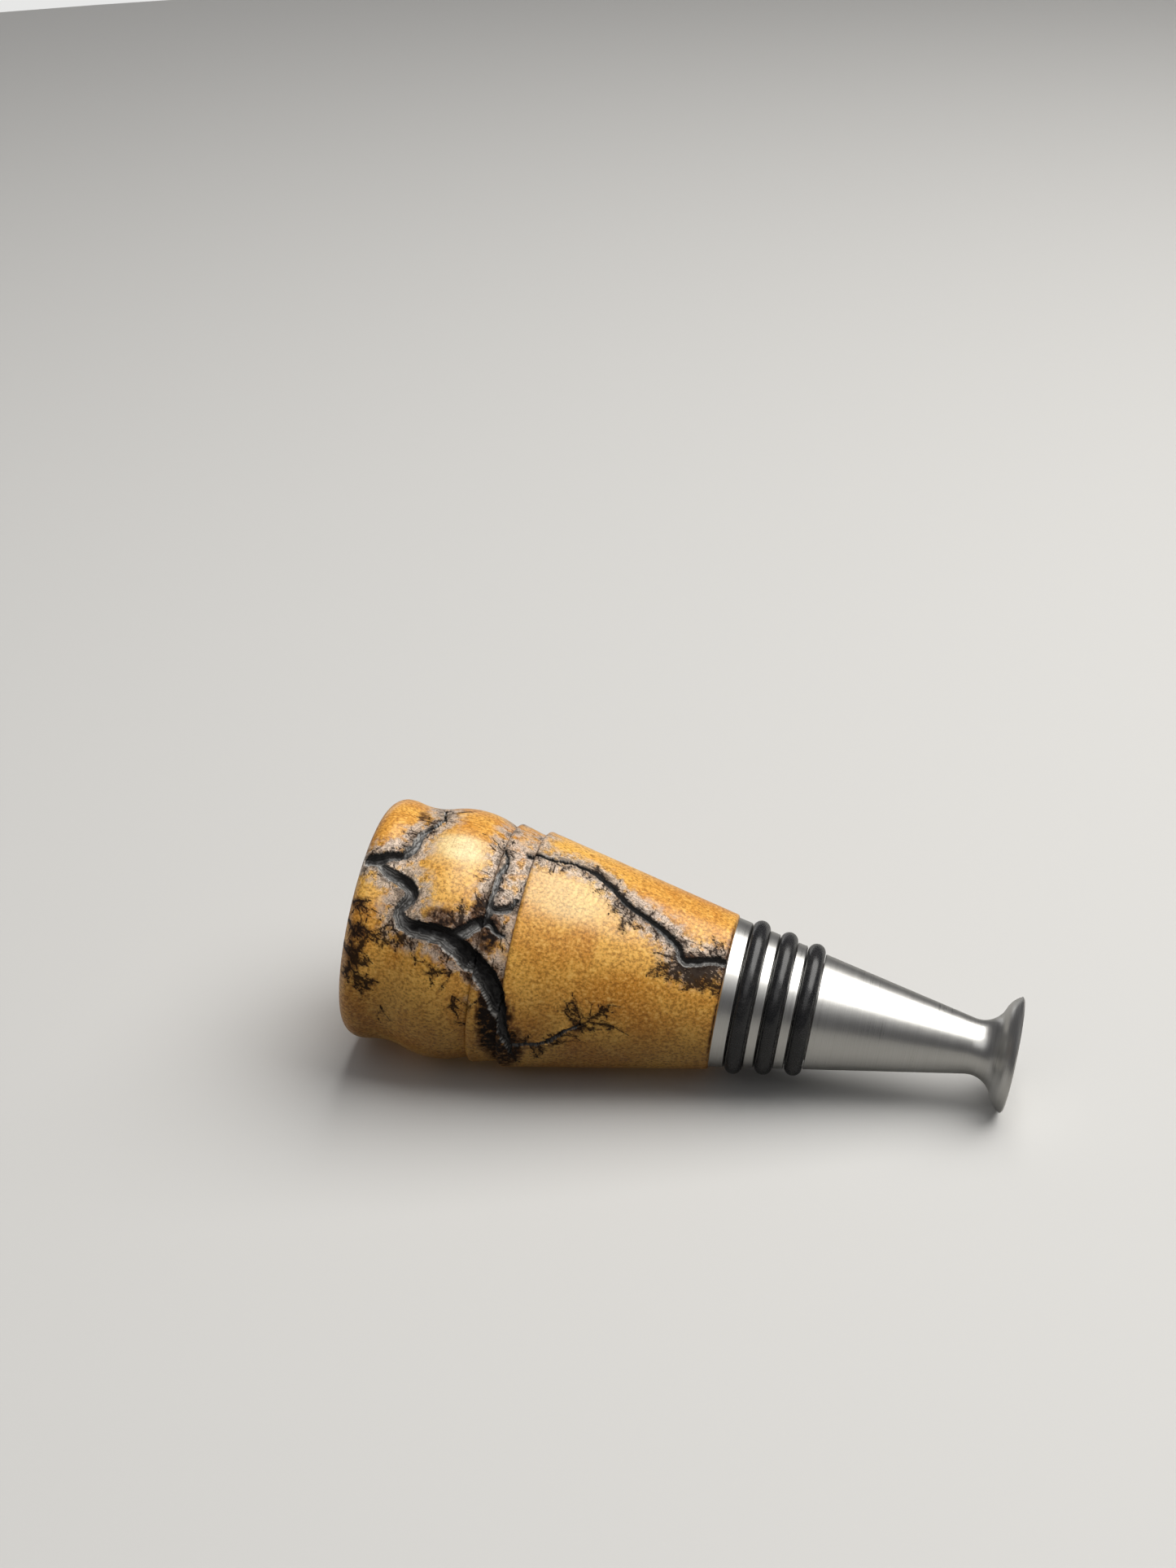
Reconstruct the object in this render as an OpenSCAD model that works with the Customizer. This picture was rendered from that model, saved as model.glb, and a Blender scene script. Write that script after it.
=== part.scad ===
// Bottle stopper: a turned wooden handle with burnt channels, on a steel stopper with three rubber rings.
// Millimetres. The stopper stands on its steel foot: the origin is the middle of the foot's face, +Z is the
// axis of turning and -Y is the front, where the longest channels are.

/* [Wooden handle] */
// Diameter of the wood at the joint with the steel
wood_small_d = 22.2; // [21.6:0.1:24]
// Length of the long cone, from the joint to the step
wood_cone_len = 28.85; // [24:0.05:34]
// Largest diameter of the long cone
wood_cone_d = 33.95; // [31:0.05:35]
// Depth of the step from the long cone in to the narrow band
step_depth = 0.775; // [0.4:0.025:1.5]
// How far the narrow band widens from its foot to its top
band_flare = 1; // [0.4:0.05:1.5]
// Length of the narrow band
band_len = 4.3; // [3:0.1:6]
// Radius of the eased edges of the steps
step_round = 0.55; // [0.3:0.05:0.8]
// Radius of the eased edge at the joint
joint_round = 0.3; // [0.1:0.05:0.5]

/* [Head] */
// How far the bead stands out past the top of the band
bead_proud = 0.7; // [0.3:0.05:1.5]
// Height of the bead's fullest point above the band
bead_rise = 5.8; // [5:0.1:7]
// Radius of the bead's curve along the handle
bead_curve = 12.1; // [11:0.1:14]
// Depth of the cove above the bead
cove_depth = 1.05; // [0.6:0.05:1.6]
// Radius of the cove's curve along the handle
cove_curve = 9; // [6:0.5:12]
// How far the rim stands out of the cove
rim_proud = 0.45; // [0.2:0.05:0.9]
// Radius of the rim's curve where it rises from the cove
rim_curve = 6; // [4:0.5:8]
// Radius of the rounded edge between the rim and the flat end
end_round = 2.5; // [1:0.1:4]

/* [Steel stopper] */
// Diameter of the flared foot
foot_d = 16.4; // [14:0.1:17]
// Height of the foot's curved edge
foot_edge_h = 1.95; // [1.4:0.05:2.4]
// Radius of the curve of the foot's edge
foot_curve = 3.5; // [3:0.1:5]
// Break of the sharp corner at the foot's face
foot_break = 0.2; // [0.1:0.05:0.4]
// Smallest diameter of the neck
neck_d = 7.8; // [6:0.1:9]
// Height of the neck's narrowest point above the foot's face
neck_height = 5.35; // [5:0.05:5.5]
// Radius of the curve from the neck to the foot
neck_curve = 3.6; // [3.6:0.05:4]
// Height of the long steel cone's upper end above the foot's face
steel_cone_top = 28; // [22:0.5:36]
// Diameter at the long steel cone's upper end
steel_cone_d = 16.5; // [14:0.1:17.5]
// Diameter of the collar at the joint
collar_d = 21.4; // [20.4:0.1:21.6]
// Length of the collar
collar_len = 2.1; // [1.5:0.1:4]
// Length of each land between two grooves
land_len = 1.45; // [1:0.05:3]
// Break of the edges of the collar and the lands
edge_break = 0.12; // [0.05:0.01:0.2]

/* [Rubber rings] */
// Thickness of the rubber of a ring
ring_section = 2.5; // [2:0.05:3]
// How far a ring stands out of the taper
ring_proud = 0.9; // [0.5:0.05:1.2]
// Clearance between a ring and each side of its groove
ring_side_clearance = 0.075; // [0.02:0.005:0.2]
// Clearance between a ring and the floor of its groove
ring_floor_clearance = 0.02; // [0.01:0.005:0.05]

/* [Stud] */
// Diameter of the stud that holds the wood
stud_d = 9.5; // [8:0.1:12]
// Length of the stud above the joint
stud_len = 12.7; // [10:0.1:20]
// Chamfer at the stud's tip
stud_chamfer = 0.8; // [0.4:0.1:1.2]
// Clearance around the stud in the wood
stud_clearance = 0.1; // [0.05:0.01:0.2]
// Space left above the stud's tip
stud_end_space = 1.3; // [0.5:0.1:2]
// Length of the drill point at the end of the wood's hole
drill_point = 2.8; // [2:0.1:4]

/* [Burnt channels] */
// Depth of the finest channel
channel_min_depth = 0.3; // [0.1:0.05:0.6]
// Depth that a channel gains for each millimetre of its width
channel_deepening = 0.5; // [0.3:0.05:0.7]
// How far the cut reaches out past the wood's skin
channel_overcut = 1.4; // [1.2:0.1:2]

/* [Hidden] */

around = 160;
curve_steps = 10;
edge_steps = 4;
ring_steps = 48;
channel_steps = 2;
channel_flare = 1.5;
rings = 3;

// Grooves and lands, counted from the foot
groove_w = ring_section + 2 * ring_side_clearance;
seal_pitch = groove_w + land_len;
z_joint = steel_cone_top + rings * groove_w + (rings - 1) * land_len + collar_len;

// Diameters of the handle above the long cone
band_small_d = wood_cone_d - 2 * step_depth;
band_big_d = band_small_d + 2 * band_flare;
bead_d = band_big_d + 2 * bead_proud;
cove_d = bead_d - 2 * cove_depth;
rim_d = cove_d + 2 * rim_proud;

// Heights along the handle
z_step = z_joint + wood_cone_len;
z_band = z_step + band_len;
z_bead = z_band + bead_rise;
cove_reach = bead_curve + cove_curve;
cove_turn = acos(1 - cove_depth / cove_reach);
z_cove = z_bead + cove_reach * sin(cove_turn);
rim_reach = cove_curve + rim_curve;
rim_turn = acos(1 - rim_proud / rim_reach);
z_rim = z_cove + rim_reach * sin(rim_turn);
z_end = z_rim + end_round;
z_bead_end = z_bead + bead_curve * sin(cove_turn);
z_rim_start = z_rim - rim_curve * sin(rim_turn);

// Centres of the three curves of the head, as [radius, height]
bead_centre = [bead_d / 2 - bead_curve, z_bead];
cove_centre = [cove_d / 2 + cove_curve, z_cove];
rim_centre = [rim_d / 2 - rim_curve, z_rim];
end_centre = [rim_d / 2 - end_round, z_rim];
bead_start = asin((z_band - z_bead) / bead_curve);

// Slopes of the turned cones, as radius gained per millimetre of height
wood_slope = (wood_cone_d - wood_small_d) / 2 / (wood_cone_len - step_round);
band_slope = band_flare / (band_len - step_round);
seal_slope = (collar_d - steel_cone_d) / 2 / (z_joint - steel_cone_top);

// Burnt channels as [angle from the front, height, width], followed over the handle's skin. Angles grow
// towards +X. A height is a percentage of the handle's length, counted from the joint.
rim_channel = [
    [25, 103.5, 1.9], [25, 99, 1.8], [26, 95, 1.6], [29, 93, 1.4], [32, 89, 1.3], [40, 87, 1.1],
    [47, 86.5, 0.8], [53, 84.5, 0.6], [60, 82.5, 0.4], [68, 83.5, 0.3], [77, 84.5, 0.2]
];
main_channel = [
    [25, 95, 1], [21, 92, 1.4], [19, 88, 1.5], [15, 84.5, 1.6], [10, 84.5, 1.5], [5, 86.5, 1.5],
    [-1, 84.5, 1.8], [-2, 80.5, 2.1], [-2, 76.5, 2.3], [-3, 72.5, 2.4], [-6, 69, 2.6], [-11, 65, 2.6],
    [-16, 61, 2.6], [-23, 58, 2.4], [-32, 56, 2], [-42, 54.5, 1.5], [-52, 52.5, 0.9], [-62, 51.5, 0.3]
];
band_channel = [
    [-4, 71, 1.8], [2, 68, 1.6], [7, 65, 1.4], [13, 63, 1.1], [19, 64, 0.9], [25, 63, 0.7],
    [32, 63, 0.6], [39, 62, 0.5], [49, 64, 0.25]
];
star_channel = [[14, 63, 1], [15, 60, 0.9], [17, 58, 0.7], [22, 57, 0.3]];
lobe_channel = [[7, 65, 1], [7, 62, 0.9], [4, 60, 0.7], [3, 58, 0.3]];
cone_channel = [
    [49, 58, 0.7], [50, 54.5, 0.6], [50, 50.5, 0.6], [53, 46.5, 0.7], [53, 42.5, 0.7], [52, 39, 0.8],
    [49, 36, 0.8], [45, 33, 0.8], [39, 29, 0.9], [36, 25.5, 0.9], [33, 21.5, 0.9], [28, 17.5, 0.9],
    [23, 13.5, 0.9], [17, 12.5, 1], [13, 10.5, 1.1], [15, 8, 1.1], [18, 5, 1.1], [20, 2, 1.2],
    [20, -2, 1.2]
];
side_channel = [[-54, 52.5, 0.7], [-52, 46.5, 0.7], [-50, 42.5, 0.6], [-43, 39, 0.5], [-35, 34, 0.3]];
channels = [rim_channel, main_channel, band_channel, star_channel, lobe_channel, cone_channel, side_channel];

function arc(centre, radius, from, to, steps) =
    [for (i = [0:steps]) centre + radius * [cos(from + (to - from) * i / steps),
                                            sin(from + (to - from) * i / steps)]];

// The same without its first point, which the curve before it already has
function arc_after(centre, radius, from, to, steps) =
    let (whole = arc(centre, radius, from, to, steps))
    [for (i = [1:steps]) whole[i]];

// Arc of the given radius from point p to point q, bulging to the right of the way from p to q
function arc_through(p, q, radius, steps) =
    let (
        half = norm(q - p) / 2,
        along = (q - p) / (2 * half),
        centre = (p + q) / 2 + sqrt(radius * radius - half * half) * [-along[1], along[0]],
        from = atan2(p[1] - centre[1], p[0] - centre[0]),
        to = atan2(q[1] - centre[1], q[0] - centre[0])
    )
    arc(centre, radius, from, to, steps);

// Radius of the taper that carries the rings, at height z
function seal_r(z) = steel_cone_d / 2 + seal_slope * (z - steel_cone_top);

// Middle height and outer radius of ring number i, counted from the foot
function ring_z(i) = steel_cone_top + groove_w / 2 + i * seal_pitch;
function ring_outer_r(i) = seal_r(ring_z(i)) + ring_proud;

// Outline of the handle's skin, from the joint to the flat end, as [radius, height]
skin = concat(
    arc([wood_small_d / 2 - joint_round, z_joint + joint_round], joint_round, -90, 0, edge_steps),
    arc([wood_cone_d / 2 - step_round, z_step - step_round], step_round, 0, 90, edge_steps),
    [[band_small_d / 2, z_step]],
    arc([band_big_d / 2 - step_round, z_band - step_round], step_round, 0, 90, edge_steps),
    arc(bead_centre, bead_curve, bead_start, cove_turn, curve_steps),
    arc(cove_centre, cove_curve, 180 + cove_turn, 180 - rim_turn, curve_steps),
    arc(rim_centre, rim_curve, -rim_turn, 0, edge_steps),
    arc(end_centre, end_round, 0, 90, curve_steps)
);

// Radius of the handle's skin at height z, without its eased edges
function skin_r(z) =
    z < z_step ? wood_small_d / 2 + wood_slope * (z - z_joint)
    : z < z_band ? band_small_d / 2 + band_slope * (z - z_step)
    : z < z_bead_end ? bead_centre[0] + sqrt(pow(bead_curve, 2) - pow(z - z_bead, 2))
    : z < z_rim_start ? cove_centre[0] - sqrt(pow(cove_curve, 2) - pow(z - z_cove, 2))
    : rim_d / 2;

// Smooth path through the points of a channel
function between(a, b, c, d, t) =
    b + t * (c - a) / 2 + t * t * (a - 2.5 * b + 2 * c - d / 2) + t * t * t * (1.5 * (b - c) + (d - a) / 2);
function smooth(points) =
    let (last = len(points) - 1)
    [
        for (i = [0:last - 1]) for (k = [0:channel_steps - 1])
            between(points[max(i - 1, 0)], points[i], points[i + 1], points[min(i + 2, last)],
                    k / channel_steps),
        points[last]
    ];

function outward(p) = [sin(p[0]), -cos(p[0]), 0];
function on_skin(p) =
    let (z = z_joint + p[1] / 100 * (z_end - z_joint))
    skin_r(z) * outward(p) + [0, 0, z];
function unit(v) = v / norm(v);

// Cross-section of a channel, as [across, outward]: a rounded floor with walls that open outwards
function channel_section(width) =
    let (half = width / 2, deep = channel_min_depth + channel_deepening * width)
    [
        [-half * channel_flare, channel_overcut], [-half, -deep / 2], [-half / 3, -deep],
        [half / 3, -deep], [half, -deep / 2], [half * channel_flare, channel_overcut]
    ];

module channel(points) {
    path = smooth(points);
    last = len(path) - 1;
    sides = len(channel_section(1));
    corners = [
        for (i = [0:last])
            let (
                out = outward(path[i]),
                way = unit(on_skin(path[min(i + 1, last)]) - on_skin(path[max(i - 1, 0)])),
                across = unit(cross(way, out))
            )
            for (s = channel_section(path[i][2])) on_skin(path[i]) + s[0] * across + s[1] * out
    ];
    walls = [
        for (i = [0:last - 1]) for (k = [0:sides - 1])
            let (a = i * sides + k, b = i * sides + (k + 1) % sides)
            for (f = [[a, b, b + sides], [a, b + sides, a + sides]]) f
    ];
    caps = [
        for (k = [1:sides - 2])
            for (f = [[0, k + 1, k], [last * sides, last * sides + k, last * sides + k + 1]]) f
    ];
    polyhedron(points = corners, faces = concat(walls, caps));
}

// Turned wooden handle, with the hole for the stud and the channels burnt into its skin
module wood_handle() {
    hole_r = stud_d / 2 + stud_clearance;
    z_hole = z_joint + stud_len + stud_end_space;
    color([0.72, 0.45, 0.16])
    difference() {
        rotate_extrude($fn = around)
            polygon(concat([[hole_r, z_joint]], skin, [[0, z_end], [0, z_hole + drill_point], [hole_r, z_hole]]));
        for (points = channels) channel(points);
    }
}

// Turned steel stopper: foot, neck, cone, three grooves, collar and the stud that holds the wood
module steel_stopper() {
    neck_centre = [neck_d / 2 + neck_curve, neck_height];
    shoulder_angle = 180 + asin((neck_height - foot_edge_h) / neck_curve);
    shoulder = neck_centre + neck_curve * [cos(shoulder_angle), sin(shoulder_angle)];
    cone_top = [steel_cone_d / 2, steel_cone_top];
    // The long cone leaves the neck's curve as a tangent
    to_neck = neck_centre - cone_top;
    cone_way = atan2(to_neck[1], to_neck[0]) - asin(neck_curve / norm(to_neck));
    stud_r = stud_d / 2;
    grooves = [
        for (i = [0:rings - 1])
            let (
                low = ring_z(i) - groove_w / 2,
                high = ring_z(i) + groove_w / 2,
                floor_r = ring_outer_r(i) - ring_section - ring_floor_clearance
            )
            for (p = [
                [seal_r(low) - edge_break, low], [floor_r, low],
                [floor_r, high], [seal_r(high) - edge_break, high], [seal_r(high + edge_break), high + edge_break],
                [seal_r(high + land_len - edge_break), high + land_len - edge_break]
            ]) p
    ];
    color([0.72, 0.72, 0.7])
    rotate_extrude($fn = around)
        polygon(concat(
            [[0, 0], [foot_d / 2 - foot_break, 0]],
            arc_through([foot_d / 2, foot_break], shoulder, foot_curve, edge_steps * 2),
            arc_after(neck_centre, neck_curve, shoulder_angle, cone_way + 270, curve_steps),
            [[seal_r(steel_cone_top - edge_break), steel_cone_top - edge_break]],
            [for (i = [0:len(grooves) - 2]) grooves[i]],
            [[collar_d / 2 - edge_break, z_joint], [stud_r, z_joint],
             [stud_r, z_joint + stud_len - stud_chamfer], [stud_r - stud_chamfer, z_joint + stud_len],
             [0, z_joint + stud_len]]
        ));
}

// One rubber ring, seated in groove number i
module o_ring(i) {
    color([0.06, 0.06, 0.06])
    rotate_extrude($fn = around)
        translate([ring_outer_r(i) - ring_section / 2, ring_z(i)])
            circle(d = ring_section, $fn = ring_steps);
}

module o_ring_top() { o_ring(2); }
module o_ring_middle() { o_ring(1); }
module o_ring_bottom() { o_ring(0); }

wood_handle();
steel_stopper();
o_ring_top();
o_ring_middle();
o_ring_bottom();
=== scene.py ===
import math
import random

import bmesh
import bpy
import numpy as np
from mathutils import Matrix, Vector, kdtree, noise
from mathutils.bvhtree import BVHTree


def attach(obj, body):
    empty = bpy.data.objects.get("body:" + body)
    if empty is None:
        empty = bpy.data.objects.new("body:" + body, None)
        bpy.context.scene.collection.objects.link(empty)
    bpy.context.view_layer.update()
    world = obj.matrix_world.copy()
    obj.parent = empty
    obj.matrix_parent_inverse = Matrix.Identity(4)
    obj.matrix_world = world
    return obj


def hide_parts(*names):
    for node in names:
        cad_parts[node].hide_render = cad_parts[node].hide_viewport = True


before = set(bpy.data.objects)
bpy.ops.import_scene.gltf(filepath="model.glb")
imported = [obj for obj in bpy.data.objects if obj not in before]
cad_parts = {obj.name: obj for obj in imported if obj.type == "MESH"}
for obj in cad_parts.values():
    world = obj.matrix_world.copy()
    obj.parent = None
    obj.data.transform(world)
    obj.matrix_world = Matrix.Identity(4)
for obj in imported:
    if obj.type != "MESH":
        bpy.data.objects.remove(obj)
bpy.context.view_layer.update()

# Sizes are in millimetres, angles in degrees from the front, growing towards +X
MM = 0.001

# Turned outline of the wooden handle, as in the CAD source
JOINT_Z = 40.95
STEP_Z = 69.8
BAND_Z = 74.1
SMALL_D = 22.2
CONE_D = 33.95
BAND_SMALL_D = 32.4
BAND_BIG_D = 34.4
BEAD_D = 35.8
BEAD_Z = 79.9
BEAD_CURVE = 12.1
COVE_D = 33.7
COVE_CURVE = 9.0
RIM_D = 34.6
RIM_CURVE = 6.0
END_Z = 92.62
END_ROUND = 2.5
STEP_ROUND = 0.55
JOINT_ROUND = 0.3
HOLE_R = 4.85
HOLE_Z = 54.95
DRILL_POINT = 2.8

# How finely the handle is meshed: rows up the outline, and columns in front and behind
ROW = 0.235
FACE_ROW = 2
JOINT_POINTS, STEP_POINTS = 4, 5
END_ROWS = 12
FRONT_START, FRONT_ANGLE, FRONT_COLUMNS = -76.0, 172.0, 296
BACK_COLUMNS = 60

# Turned outline of the steel stopper
FOOT_D = 16.4
FOOT_EDGE_H = 1.95
FOOT_CURVE = 3.5
FOOT_BREAK = 0.2
NECK_D = 7.8
NECK_Z = 5.35
NECK_CURVE = 3.6
STEEL_CONE_Z = 28.0
STEEL_CONE_D = 16.5
COLLAR_D = 21.4
LAND = 1.45
EDGE_BREAK = 0.12
STUD_D = 9.5
STUD_LEN = 12.7
STUD_CHAMFER = 0.8

# How finely the steel and the rings are meshed
STEEL_ROW = 1.5
FOOT_POINTS, NECK_POINTS = 14, 24
STEEL_COLUMNS = 192
RING_POINTS = 40
RING_COLUMNS = 180

# Rubber rings
RING_SECTION = 2.5
RING_PROUD = 0.9
GROOVE = 2.65
GROOVE_FLOOR_GAP = 0.02
RING_COUNT = 3


def arc(centre, radius, start, end, steps):
    """Points of an arc as (radius, height), both ends included."""
    turns = [math.radians(start + (end - start) * i / steps) for i in range(steps + 1)]
    return [(centre[0] + radius * math.cos(t), centre[1] + radius * math.sin(t)) for t in turns]


def rows_between(low, high, spacing):
    """Points of a straight stretch of outline, without its first point."""
    count = max(1, round(math.dist(low, high) / spacing))
    return [
        (low[0] + (high[0] - low[0]) * i / count, low[1] + (high[1] - low[1]) * i / count)
        for i in range(1, count + 1)
    ]


def arc_rows(centre, radius, start, end, spacing):
    """An arc with points about one spacing apart."""
    steps = max(3, round(abs(math.radians(end - start)) * radius / spacing))
    return arc(centre, radius, start, end, steps)


def handle_outline():
    """Outline of the handle from the bottom of its hole, round the skin, to the middle of the flat end."""
    cove_turn = math.degrees(math.acos(1 - (BEAD_D - COVE_D) / 2 / (BEAD_CURVE + COVE_CURVE)))
    rim_turn = math.degrees(math.acos(1 - (RIM_D - COVE_D) / 2 / (COVE_CURVE + RIM_CURVE)))
    cove_z = BEAD_Z + (BEAD_CURVE + COVE_CURVE) * math.sin(math.radians(cove_turn))
    rim_z = cove_z + (COVE_CURVE + RIM_CURVE) * math.sin(math.radians(rim_turn))
    bead_start = math.degrees(math.asin((BAND_Z - BEAD_Z) / BEAD_CURVE))
    outline = [(0, HOLE_Z + DRILL_POINT), (HOLE_R, HOLE_Z), (HOLE_R, JOINT_Z)]
    outline += rows_between(outline[-1], (SMALL_D / 2 - JOINT_ROUND, JOINT_Z), FACE_ROW)
    outline += arc((SMALL_D / 2 - JOINT_ROUND, JOINT_Z + JOINT_ROUND), JOINT_ROUND, -90, 0, JOINT_POINTS)[1:]
    outline += rows_between(outline[-1], (CONE_D / 2, STEP_Z - STEP_ROUND), ROW)
    outline += arc((CONE_D / 2 - STEP_ROUND, STEP_Z - STEP_ROUND), STEP_ROUND, 0, 90, STEP_POINTS)[1:]
    outline += [(BAND_SMALL_D / 2, STEP_Z)]
    outline += rows_between(outline[-1], (BAND_BIG_D / 2, BAND_Z - STEP_ROUND), ROW)
    outline += arc((BAND_BIG_D / 2 - STEP_ROUND, BAND_Z - STEP_ROUND), STEP_ROUND, 0, 90, STEP_POINTS)[1:]
    outline += arc_rows((BEAD_D / 2 - BEAD_CURVE, BEAD_Z), BEAD_CURVE, bead_start, cove_turn, ROW)
    cove_middle = (COVE_D / 2 + COVE_CURVE, cove_z)
    outline += arc_rows(cove_middle, COVE_CURVE, 180 + cove_turn, 180 - rim_turn, ROW)[1:]
    outline += arc_rows((RIM_D / 2 - RIM_CURVE, rim_z), RIM_CURVE, -rim_turn, 0, ROW)[1:]
    outline += arc_rows((RIM_D / 2 - END_ROUND, rim_z), END_ROUND, 0, 90, ROW)[1:]
    end_z = rim_z + END_ROUND
    flat_r = RIM_D / 2 - END_ROUND
    outline += [(flat_r * (1 - i / END_ROWS), end_z) for i in range(1, END_ROWS + 1)]
    return outline


def seal_radius(z):
    """Radius of the steel taper that carries the rings."""
    slope = (COLLAR_D - STEEL_CONE_D) / 2 / (JOINT_Z - STEEL_CONE_Z)
    return STEEL_CONE_D / 2 + slope * (z - STEEL_CONE_Z)


def ring_height(number):
    """Height of a ring's middle. The lowest ring has number 0."""
    return STEEL_CONE_Z + GROOVE / 2 + number * (GROOVE + LAND)


def steel_outline():
    """Outline of the steel stopper, from the middle of the foot's face to the tip of the stud."""
    foot_corner = Vector((FOOT_D / 2, FOOT_BREAK))
    neck = Vector((NECK_D / 2 + NECK_CURVE, NECK_Z))
    shoulder_turn = 180 + math.degrees(math.asin((NECK_Z - FOOT_EDGE_H) / NECK_CURVE))
    shoulder = neck + NECK_CURVE * Vector(
        (math.cos(math.radians(shoulder_turn)), math.sin(math.radians(shoulder_turn)))
    )
    chord = shoulder - foot_corner
    centre = (foot_corner + shoulder) / 2 + Vector((-chord.y, chord.x)).normalized() * math.sqrt(
        FOOT_CURVE**2 - (chord.length / 2) ** 2
    )
    first, last = [math.degrees(math.atan2(*(p - centre).yx)) for p in (foot_corner, shoulder)]
    cone_top = Vector((STEEL_CONE_D / 2, STEEL_CONE_Z))
    to_neck = neck - cone_top
    cone_way = math.degrees(math.atan2(to_neck.y, to_neck.x) - math.asin(NECK_CURVE / to_neck.length))
    outline = [(0, 0), (FOOT_D / 4, 0), (FOOT_D / 2 - FOOT_BREAK, 0)]
    outline += arc(centre, FOOT_CURVE, first, last, FOOT_POINTS)
    outline += arc(neck, NECK_CURVE, shoulder_turn, cone_way + 270, NECK_POINTS)[1:]
    cone_end = (seal_radius(STEEL_CONE_Z) - EDGE_BREAK / 2, STEEL_CONE_Z - EDGE_BREAK)
    outline += rows_between(outline[-1], cone_end, STEEL_ROW)
    for number in range(RING_COUNT):
        low, high = ring_height(number) - GROOVE / 2, ring_height(number) + GROOVE / 2
        floor = seal_radius(ring_height(number)) + RING_PROUD - RING_SECTION - GROOVE_FLOOR_GAP
        outline += [(seal_radius(low) - EDGE_BREAK, low), (floor, low), (floor, high)]
        outline += [(seal_radius(high) - EDGE_BREAK, high)]
        outline += [(seal_radius(high + EDGE_BREAK), high + EDGE_BREAK)]
        top = high + LAND if number < RING_COUNT - 1 else JOINT_Z
        outline += [(seal_radius(top - EDGE_BREAK), top - EDGE_BREAK)]
    outline += [(COLLAR_D / 2 - EDGE_BREAK, JOINT_Z), (STUD_D / 2, JOINT_Z)]
    outline += [(STUD_D / 2, JOINT_Z + STUD_LEN - STUD_CHAMFER)]
    outline += [(STUD_D / 2 - STUD_CHAMFER, JOINT_Z + STUD_LEN), (0, JOINT_Z + STUD_LEN)]
    return outline


# Points closer than this are one
SAME_POINT = 0.0005
# Edges with a larger angle than this stay sharp
HANDLE_SHARP, STEEL_SHARP, RING_SHARP = 40, 25, 60


def turn(outline, sweeps):
    """A bmesh turned from an outline. Each sweep is (start angle, angle, columns)."""
    bm = bmesh.new()
    for start, angle, columns in sweeps:
        side, front = math.sin(math.radians(start)), -math.cos(math.radians(start))
        verts = [bm.verts.new((r * side, r * front, z)) for r, z in outline]
        edges = [bm.edges.new(pair) for pair in zip(verts, verts[1:])]
        bmesh.ops.spin(
            bm, geom=verts + edges, cent=(0, 0, 0), axis=(0, 0, 1), dvec=(0, 0, 0),
            angle=math.radians(angle), steps=columns, use_merge=abs(angle) == 360,
        )
    bmesh.ops.remove_doubles(bm, verts=bm.verts, dist=SAME_POINT)
    bmesh.ops.recalc_face_normals(bm, faces=bm.faces)
    return bm


def finish_piece(name, bm, sharp_angle, material):
    """Turns a bmesh in millimetres into a piece that replaces the CAD node of its name."""
    bmesh.ops.scale(bm, vec=(MM, MM, MM), verts=bm.verts)
    mesh = bpy.data.meshes.new(name)
    bm.to_mesh(mesh)
    bm.free()
    mesh.shade_smooth()
    mesh.set_sharp_from_angle(angle=math.radians(sharp_angle))
    mesh.materials.append(material)
    piece = bpy.data.objects.new(name + "_turned", mesh)
    bpy.context.scene.collection.objects.link(piece)
    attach(piece, "root")
    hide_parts(name)
    return piece


# The burnt figure is drawn on the unrolled skin: a grid of cells over angle and height, which holds how
# dark the burn's fine twigs are
CELL = 0.08
SKIN_R = 17.5
FIGURE_LOW, FIGURE_HIGH = 40.0, 94.0
FIGURE_COLUMNS = round(2 * math.pi * SKIN_R / CELL)
FIGURE_ROWS = round((FIGURE_HIGH - FIGURE_LOW) / CELL)

# How a twig grows: its steps, how far each may turn and how strongly it turns back to the heading, and how
# thin the tip is beside the start
STRIDE = 0.3
WANDER = 34
TURN_BACK = 0.18
TIP_WIDTH = 0.45
# How a twig forks: how often, at which angles, and the side twig's length and width beside its own
FORK_CHANCE = 0.3
FORK_ANGLES = (28, 68)
SIDE_LENGTHS = (0.35, 0.8)
SIDE_WIDTH = 0.78
LAST_LEVEL = 3
# How a twig is drawn: in dots, with a share of its stated width, and with how many cells round each dot
DOT = 0.05
TWIG_SHARE = 0.68
DOT_CELLS = 4
DOT_DARK = 1.3


def arc_length(angle):
    """How far along the unrolled skin an angle is."""
    return math.radians(angle) * SKIN_R


def smooth_step(low, high, value):
    """0 at low and 1 at high, with a soft start and end."""
    t = np.clip((value - low) / (high - low), 0, 1)
    return t * t * (3 - 2 * t)


def grow(dice, start, heading, length, width, twigs, level=0):
    """A wandering burnt twig with side twigs, added to twigs as (point, point, width)."""
    point, way, left = start, heading, length
    while left > 0:
        way += dice.uniform(-WANDER, WANDER) + (heading - way) * TURN_BACK
        nxt = (
            point[0] + STRIDE * math.cos(math.radians(way)),
            point[1] + STRIDE * math.sin(math.radians(way)),
        )
        thin = width * (TIP_WIDTH + (1 - TIP_WIDTH) * left / length)
        twigs.append((point, nxt, thin))
        if level < LAST_LEVEL and dice.random() < FORK_CHANCE:
            side = dice.choice((-1, 1)) * dice.uniform(*FORK_ANGLES)
            side_length = left * dice.uniform(*SIDE_LENGTHS)
            grow(dice, nxt, way + side, side_length, thin * SIDE_WIDTH, twigs, level + 1)
        point = nxt
        left -= STRIDE


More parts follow.
